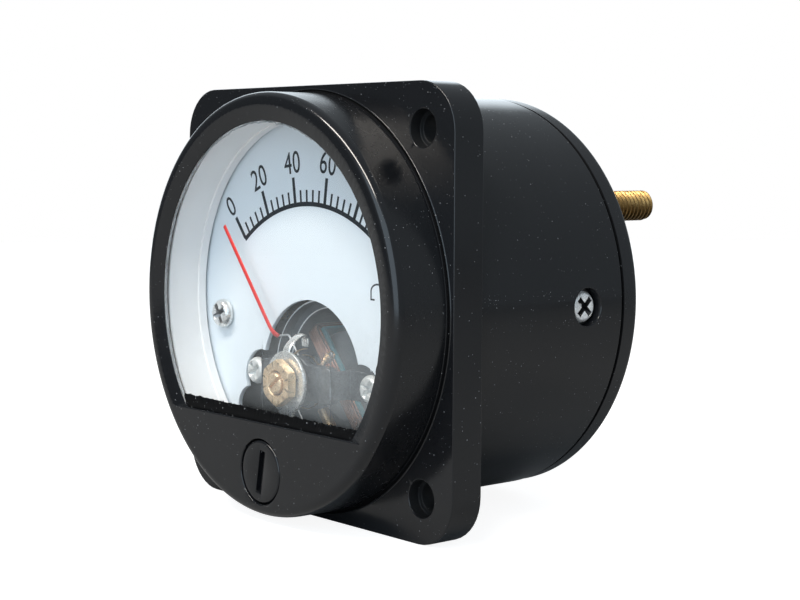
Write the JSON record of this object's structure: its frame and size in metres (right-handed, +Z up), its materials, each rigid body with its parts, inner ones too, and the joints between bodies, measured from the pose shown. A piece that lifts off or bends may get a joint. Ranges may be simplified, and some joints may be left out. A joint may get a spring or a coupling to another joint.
{
  "type": "moving-coil panel meter",
  "caption": "Round moving-coil panel meter on a square flange, with a D-shaped window, a zero adjuster, a red pointer over a printed scale and threaded rear terminals.",
  "frame": {"origin": "centre of the flange's rear plane, which meets the panel", "axes": "+Z up, -Y out of the dial towards the reader, +Y towards the terminals, +X to the reader's right"},
  "size_m": [0.052, 0.0522, 0.052],
  "materials": {
    "black_plastic": "moulded black plastic, glossy",
    "clear_glass": "clear flat pane",
    "white_plastic": "moulded white plastic, satin",
    "dial_paint": "white enamelled plate with a black printed scale",
    "screw_plate": "bright zinc plate",
    "brass": "machined brass",
    "steel": "ground steel",
    "bridge_alloy": "grey die-cast alloy",
    "aluminium": "pressed aluminium",
    "soft_iron": "dark soft iron with bright machined edges",
    "ferrite": "sintered magnet",
    "copper_wire": "enamelled copper wire",
    "red_paint": "red paint on aluminium",
    "ruby": "polished synthetic ruby",
    "fibre": "vulcanised fibre",
    "lead_black": "black wire insulation",
    "lead_red": "red wire insulation"
  },
  "bodies": {
    "case": {"housing": "black_plastic", "rear_cover": "black_plastic", "window_pane": "clear_glass", "dial_liner": "white_plastic", "dial_plate": "dial_paint", "dial_screw_left": "screw_plate", "dial_screw_right": "screw_plate", "side_screw_left": "screw_plate", "side_screw_right": "screw_plate", "bridge_screw_left": "screw_plate", "bridge_screw_right": "screw_plate", "movement_screw_upper": "screw_plate", "movement_screw_lower": "screw_plate", "dial_pillar_left": "brass", "dial_pillar_right": "brass", "terminal_stud_left": "brass", "terminal_lug_left": "brass", "terminal_inner_nut_left": "brass", "terminal_washer_left": "brass", "terminal_outer_nut_left": "brass", "terminal_stud_right": "brass", "terminal_lug_right": "brass", "terminal_inner_nut_right": "brass", "terminal_washer_right": "brass", "terminal_outer_nut_right": "brass", "front_jewel_screw": "brass", "front_lock_nut": "brass", "rear_jewel_screw": "brass", "rear_lock_nut": "brass", "rear_spring_anchor": "brass", "rear_hairspring": "brass", "zero_adjust_clip": "steel", "front_bridge": "bridge_alloy", "core_keeper_left": "aluminium", "core_keeper_right": "aluminium", "magnet_carrier": "aluminium", "movement_base": "aluminium", "bridge_pillar_left": "aluminium", "bridge_pillar_right": "aluminium", "yoke_ring": "soft_iron", "magnet_core": "ferrite", "front_jewel": "ruby", "rear_jewel": "ruby", "lever_washer": "fibre", "lead_wire_left": "lead_black", "lead_wire_right": "lead_red"},
    "zero_adjuster": {"zero_adjust_screw": "black_plastic"},
    "zero_lever": {"zero_lever": "screw_plate", "front_hairspring": "brass"},
    "moving_coil": {"coil_former": "aluminium", "coil_winding": "copper_wire", "front_pivot": "steel", "rear_pivot": "steel", "pointer_hub": "aluminium", "pointer_stem": "steel", "pointer": "red_paint", "balance_weight_left": "brass", "balance_weight_right": "brass", "balance_weight_tail": "brass"}
  },
  "joints": [
    {"name": "zero_adjust_turn", "type": "hinge", "parent": "case", "child": "zero_adjuster", "pos_m": [0, -0.0105, -0.0198], "axis": [0, 1, 0], "range_deg": [-45, 45]},
    {"name": "zero_lever_turn", "type": "hinge", "parent": "case", "child": "zero_lever", "pos_m": [0, -0.0075, -0.0094], "axis": [0, 1, 0], "range_deg": [-4.5, 4.5]},
    {"name": "pointer_deflection", "type": "hinge", "parent": "zero_lever", "child": "moving_coil", "pos_m": [0, 0.004, -0.0094], "axis": [0, 1, 0], "range_deg": [-3, 81], "stiffness_Nm_per_rad": 0.00004}
  ],
  "couplings": [
    {"joint": "zero_lever_turn", "follows": "zero_adjust_turn", "ratio": -0.098}
  ]
}
